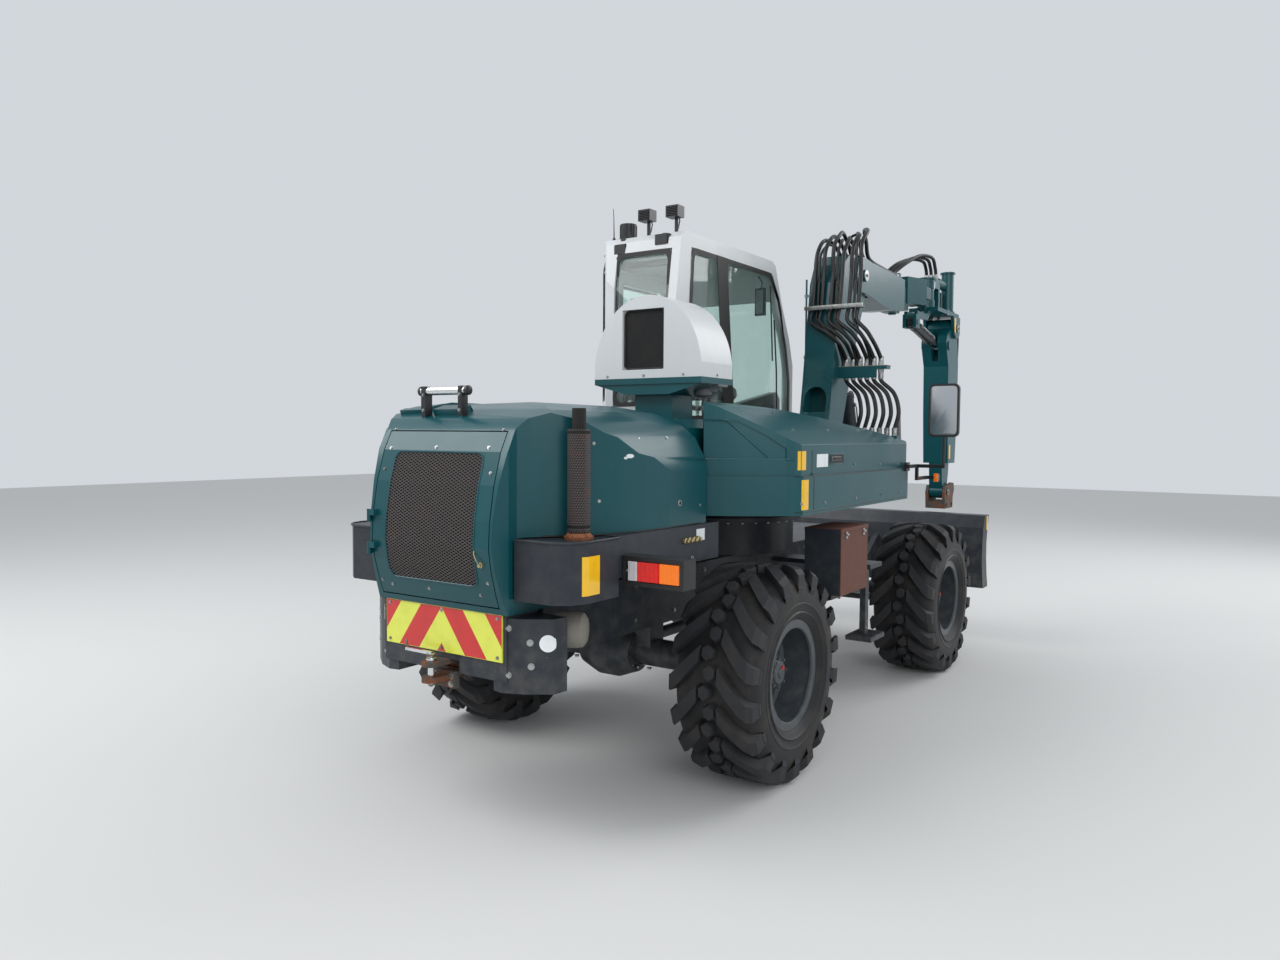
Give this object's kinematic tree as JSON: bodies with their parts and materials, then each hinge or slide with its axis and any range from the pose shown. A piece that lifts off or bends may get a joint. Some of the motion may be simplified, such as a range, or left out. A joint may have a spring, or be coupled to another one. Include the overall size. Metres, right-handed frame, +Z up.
{
  "type": "wheeled slewing tool carrier",
  "caption": "Wheeled tool carrier with rear engine hood, slewing cab, offset three-part boom, vertical dipper and front blade.",
  "frame": {"origin": "middle of the machine's outline in plan, on the ground under the wheels", "axes": "+X forward, +Y to the machine's left, +Z up"},
  "size_m": [6.2374, 2.924, 3.4826],
  "materials": {
    "anthracite": "satin",
    "black": "matt",
    "board": "reflective",
    "brown": "matt, rusty",
    "dark_paint": "satin",
    "fabric": "woven",
    "glass": "tinted",
    "green": "semi-gloss",
    "iron": "rough",
    "rod": "polished",
    "steel": "worn",
    "tyre": "matt",
    "white": "semi-gloss"
  },
  "bodies": {
    "chassis": {"frame": "anthracite", "engine": "iron", "bumper": "anthracite", "chevron_board": "board", "hitch": "iron", "rear_lamps": "black", "rear_boxes": "anthracite", "exhaust_stack": "iron", "side_boxes": "brown", "axles": "anthracite", "hood": "green"},
    "hood_door": {"rear_door": "green", "rear_grille": "black"},
    "turret": {"turret_deck": "anthracite", "side_cover": "green", "tail_cover": "green", "cab_shell": "white", "cab_glass": "glass", "seat": "fabric", "controls": "black", "fan_dome": "white", "mirrors": "black", "roof_lamps": "black", "turret_hoses": "black"},
    "hitch_pin": {"hitch_pin": "rod"},
    "door": {"cab_door": "white", "door_glass": "glass"},
    "blade": {"blade": "anthracite"},
    "blade_cylinder": {"blade_cylinder": "anthracite"},
    "blade_rod": {"blade_rod": "rod"},
    "boom_one": {"boom_one": "green", "boom_hoses": "black", "fold_hoses": "black"},
    "boom_two": {"boom_two": "green", "head_hoses": "black"},
    "offset_link": {"offset_link": "green"},
    "dipper_head": {"dipper_head": "green", "dipper_hoses": "black"},
    "dipper": {"dipper": "green"},
    "coupler": {"coupler": "iron"},
    "lift_cylinder": {"lift_cylinder": "anthracite"},
    "lift_rod": {"lift_rod": "rod"},
    "offset_cylinder": {"offset_cylinder": "steel"},
    "offset_rod": {"offset_rod": "rod"},
    "dipper_cylinder": {"dipper_cylinder": "dark_paint"},
    "dipper_rod": {"dipper_rod": "rod"},
    "coupler_cylinder": {"coupler_cylinder": "anthracite"},
    "coupler_rod": {"coupler_rod": "rod"},
    "knuckle_rl": {"knuckle_rl": "anthracite"},
    "wheel_rl": {"rim_rl": "anthracite", "tyre_rl": "tyre"},
    "knuckle_rr": {"knuckle_rr": "anthracite"},
    "wheel_rr": {"rim_rr": "anthracite", "tyre_rr": "tyre"},
    "knuckle_fl": {"knuckle_fl": "anthracite"},
    "wheel_fl": {"rim_fl": "anthracite", "tyre_fl": "tyre"},
    "knuckle_fr": {"knuckle_fr": "anthracite"},
    "wheel_fr": {"rim_fr": "anthracite", "tyre_fr": "tyre"}
  },
  "joints": [
    {"name": "slew", "type": "hinge", "parent": "chassis", "child": "turret", "pos_m": [-0.31, 0, 1.4], "axis": [0, 0, 1], "continuous": true},
    {"name": "boom_lift", "type": "hinge", "parent": "turret", "child": "boom_one", "pos_m": [0.24, -0.5, 1.72], "axis": [0, -1, 0], "range_deg": [-12, 25], "deforming": ["turret_hoses"]},
    {"name": "boom_fold", "type": "hinge", "parent": "boom_one", "child": "boom_two", "pos_m": [0.75, -0.5, 3.09], "axis": [0, -1, 0], "range_deg": [0, 60], "deforming": ["fold_hoses"]},
    {"name": "boom_offset", "type": "hinge", "parent": "boom_two", "child": "offset_link", "pos_m": [1.8, -0.5, 3.061], "axis": [0, 0, 1], "range_deg": [-15, 35], "deforming": ["head_hoses"]},
    {"name": "head_turn", "type": "hinge", "parent": "offset_link", "child": "dipper_head", "pos_m": [2.29, -0.64, 3.14], "axis": [0, 0, 1], "range_deg": [-35, 15]},
    {"name": "dipper_swing", "type": "hinge", "parent": "dipper_head", "child": "dipper", "pos_m": [2.8, -0.64, 2.88], "axis": [0, 1, 0], "range_deg": [-70, 20], "deforming": ["dipper_hoses"]},
    {"name": "coupler_tilt", "type": "hinge", "parent": "dipper", "child": "coupler", "pos_m": [2.77, -0.64, 1.345], "axis": [0, -1, 0], "range_deg": [-50, 40]},
    {"name": "blade_lift", "type": "hinge", "parent": "chassis", "child": "blade", "pos_m": [1.62, 0, 0.62], "axis": [0, -1, 0], "range_deg": [-45, 8]},
    {"name": "cab_door", "type": "hinge", "parent": "turret", "child": "door", "pos_m": [-0.556, 0.804, 2.3], "axis": [0, 0, 1], "range_deg": [0, 85]},
    {"name": "hitch_pin_lift", "type": "slide", "parent": "chassis", "child": "hitch_pin", "axis": [0, 0, 1], "range_m": [0, 0.09]},
    {"name": "hood_door", "type": "hinge", "parent": "chassis", "child": "hood_door", "pos_m": [-3.104, 0.4, 1.48], "axis": [0, 0, -1], "range_deg": [0, 110]},
    {"name": "steer_rl", "type": "hinge", "parent": "chassis", "child": "knuckle_rl", "pos_m": [-1.56, 0.8, 0.585], "axis": [0, 0, 1], "range_deg": [-28, 28]},
    {"name": "wheel_rl", "type": "hinge", "parent": "knuckle_rl", "child": "wheel_rl", "pos_m": [-1.56, 0.955, 0.585], "axis": [0, 1, 0], "continuous": true},
    {"name": "steer_rr", "type": "hinge", "parent": "chassis", "child": "knuckle_rr", "pos_m": [-1.56, -0.8, 0.585], "axis": [0, 0, 1], "range_deg": [-28, 28]},
    {"name": "wheel_rr", "type": "hinge", "parent": "knuckle_rr", "child": "wheel_rr", "pos_m": [-1.56, -0.955, 0.585], "axis": [0, 1, 0], "continuous": true},
    {"name": "steer_fl", "type": "hinge", "parent": "chassis", "child": "knuckle_fl", "pos_m": [1.34, 0.8, 0.585], "axis": [0, 0, 1], "range_deg": [-28, 28]},
    {"name": "wheel_fl", "type": "hinge", "parent": "knuckle_fl", "child": "wheel_fl", "pos_m": [1.34, 0.955, 0.585], "axis": [0, 1, 0], "continuous": true},
    {"name": "steer_fr", "type": "hinge", "parent": "chassis", "child": "knuckle_fr", "pos_m": [1.34, -0.8, 0.585], "axis": [0, 0, 1], "range_deg": [-28, 28]},
    {"name": "wheel_fr", "type": "hinge", "parent": "knuckle_fr", "child": "wheel_fr", "pos_m": [1.34, -0.955, 0.585], "axis": [0, 1, 0], "continuous": true},
    {"name": "lift_cylinder_turn", "type": "hinge", "parent": "turret", "child": "lift_cylinder", "pos_m": [0.97, -0.5, 1.64], "axis": [0, -1, 0], "range_deg": [-7.57, 15.24]},
    {"name": "lift_rod_slide", "type": "slide", "parent": "lift_cylinder", "child": "lift_rod", "axis": [-0.3485, 0, 0.9373], "range_m": [-0.13489, 0.27885]},
    {"name": "dipper_cylinder_turn", "type": "hinge", "parent": "dipper_head", "child": "dipper_cylinder", "pos_m": [1.89, -0.64, 2.855], "axis": [0, -1, 0], "range_deg": [-2.56, 1.09]},
    {"name": "dipper_rod_slide", "type": "slide", "parent": "dipper_cylinder", "child": "dipper_rod", "axis": [0.9816, 0, -0.191], "range_m": [-0.07394, 0.25379]},
    {"name": "coupler_cylinder_turn", "type": "hinge", "parent": "dipper", "child": "coupler_cylinder", "pos_m": [3.075, -0.64, 2.48], "axis": [0, -1, 0], "range_deg": [-1.74, 2.04]},
    {"name": "coupler_rod_slide", "type": "slide", "parent": "coupler_cylinder", "child": "coupler_rod", "axis": [-0.1129, 0, -0.9936], "range_m": [-0.11288, 0.1406]},
    {"name": "blade_cylinder_turn", "type": "hinge", "parent": "chassis", "child": "blade_cylinder", "pos_m": [1.735, 0, 0.98], "axis": [0, -1, 0], "range_deg": [-36.28, 6.86]},
    {"name": "blade_rod_slide", "type": "slide", "parent": "blade_cylinder", "child": "blade_rod", "axis": [0.9124, 0, -0.4093], "range_m": [-0.05126, 0.27911]},
    {"name": "offset_cylinder_turn", "type": "hinge", "parent": "boom_two", "child": "offset_cylinder", "pos_m": [1.64, -0.22, 3.15], "axis": [0, 0, 1], "range_deg": [-8.15, 18.35]},
    {"name": "offset_rod_slide", "type": "slide", "parent": "offset_cylinder", "child": "offset_rod", "axis": [0.96, -0.28, 0], "range_m": [-0.0301, 0.01404]}
  ],
  "couplings": [
    {"joint": "head_turn", "follows": "boom_offset", "ratio": -1},
    {"joint": "steer_fr", "follows": "steer_fl", "ratio": 1},
    {"joint": "steer_rl", "follows": "steer_fl", "ratio": -1},
    {"joint": "steer_rr", "follows": "steer_fl", "ratio": -1},
    {"joint": "lift_cylinder_turn", "follows": "boom_lift", "ratio": 0.5895},
    {"joint": "lift_rod_slide", "follows": "boom_lift", "m_per_rad": 0.63449},
    {"joint": "dipper_cylinder_turn", "follows": "dipper_swing", "ratio": 0.0295},
    {"joint": "dipper_rod_slide", "follows": "dipper_swing", "m_per_rad": -0.20609},
    {"joint": "coupler_cylinder_turn", "follows": "coupler_tilt", "ratio": -0.0309},
    {"joint": "coupler_rod_slide", "follows": "coupler_tilt", "m_per_rad": -0.15882},
    {"joint": "blade_cylinder_turn", "follows": "blade_lift", "ratio": 0.7952},
    {"joint": "blade_rod_slide", "follows": "blade_lift", "m_per_rad": -0.35283},
    {"joint": "offset_cylinder_turn", "follows": "boom_offset", "ratio": 0.51},
    {"joint": "offset_rod_slide", "follows": "boom_offset", "m_per_rad": -0.046}
  ]
}
